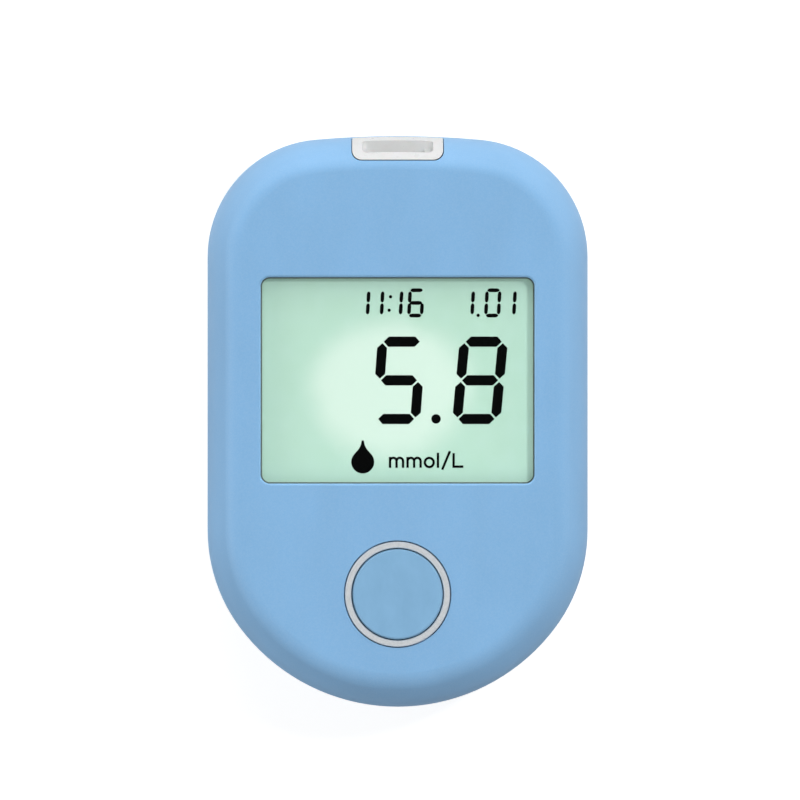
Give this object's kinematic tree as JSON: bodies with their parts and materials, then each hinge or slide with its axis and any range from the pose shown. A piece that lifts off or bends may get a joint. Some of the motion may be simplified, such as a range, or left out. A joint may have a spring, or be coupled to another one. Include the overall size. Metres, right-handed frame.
{
  "type": "blood glucose meter",
  "caption": "Rounded handheld blood glucose meter with a display window, one push button, a test strip port and a sliding battery door.",
  "frame": {"origin": "middle of the rear face, on which the meter lies", "axes": "+Z out of the display, +Y towards the test strip port, +X to the right as the display is read"},
  "size_m": [0.0566, 0.085, 0.0212],
  "materials": {
    "housing_blue": "satin",
    "cap_blue": "satin",
    "collar_white": "satin",
    "ring_silver": "satin",
    "lens_clear": "gloss",
    "display_glass": "gloss",
    "film_green": "satin",
    "guide_clear": "gloss",
    "frame_white": "matte",
    "foam_black": "matte",
    "rubber_tan": "matte",
    "plastic_black": "matte",
    "led_yellow": "gloss",
    "board_green": "satin",
    "contact_gold": "satin",
    "steel": "satin",
    "component_tan": "matte",
    "cell_wrap": "gloss"
  },
  "bodies": {
    "case": {"front_shell": "housing_blue", "rear_shell": "housing_blue", "case_screws": "steel", "window_lens": "lens_clear", "lens_tape": "plastic_black", "display_gasket": "foam_black", "front_polariser": "film_green", "front_glass": "display_glass", "rear_glass": "display_glass", "rear_polariser": "film_green", "light_guide": "guide_clear", "reflector_sheet": "frame_white", "backlight_leds": "led_yellow", "display_frame": "frame_white", "zebra_strip": "rubber_tan", "button_ring": "ring_silver", "tact_switch": "plastic_black", "strip_collar": "collar_white", "strip_connector": "plastic_black", "strip_contacts": "contact_gold", "main_board": "board_green", "board_screws": "steel", "processor_chip": "plastic_black", "quartz_crystal": "steel", "buzzer": "plastic_black", "small_components": "component_tan", "battery_left": "cell_wrap", "battery_right": "cell_wrap", "contact_bridge": "steel", "contact_positive": "steel", "contact_negative": "steel"},
    "button": {"button_cap": "cap_blue", "switch_plunger": "plastic_black"},
    "door": {"battery_door": "housing_blue"}
  },
  "joints": [
    {"name": "button_press", "type": "slide", "parent": "case", "child": "button", "axis": [0, 0, -1], "range_m": [0, 0.0004], "stiffness_N_per_m": 1000, "springref_m": -0.001},
    {"name": "door_slide", "type": "slide", "parent": "case", "child": "door", "axis": [0, -1, 0], "range_m": [0, 0.051]}
  ]
}
